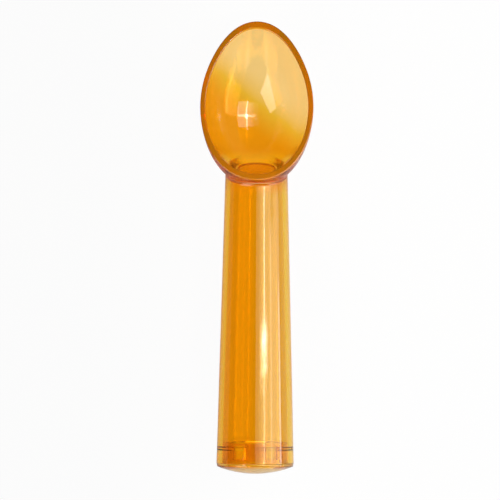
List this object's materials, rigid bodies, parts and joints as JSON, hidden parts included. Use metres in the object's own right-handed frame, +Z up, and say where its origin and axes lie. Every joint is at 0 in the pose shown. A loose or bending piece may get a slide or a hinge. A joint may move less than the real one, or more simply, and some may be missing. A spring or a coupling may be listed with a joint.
{
  "type": "ice cream scoop",
  "caption": "Clear moulded ice cream scoop with an egg-shaped bowl and a hollow tapered handle closed by a domed end cap.",
  "frame": {"origin": "on the table, below the middle of the scoop's length, as it lies on its back", "axes": "+Z up out of the bowl, +Y along the handle to the bowl's tip, +X to the right"},
  "size_m": [0.0474, 0.1898, 0.0325],
  "materials": {
    "clear_orange": "transparent orange polystyrene, moulded in a polished tool",
    "clear_orange_cap": "transparent orange polystyrene, moulded in a polished tool"
  },
  "bodies": {
    "root": {"scoop_body": "clear_orange", "end_cap": "clear_orange_cap"}
  },
  "joints": []
}
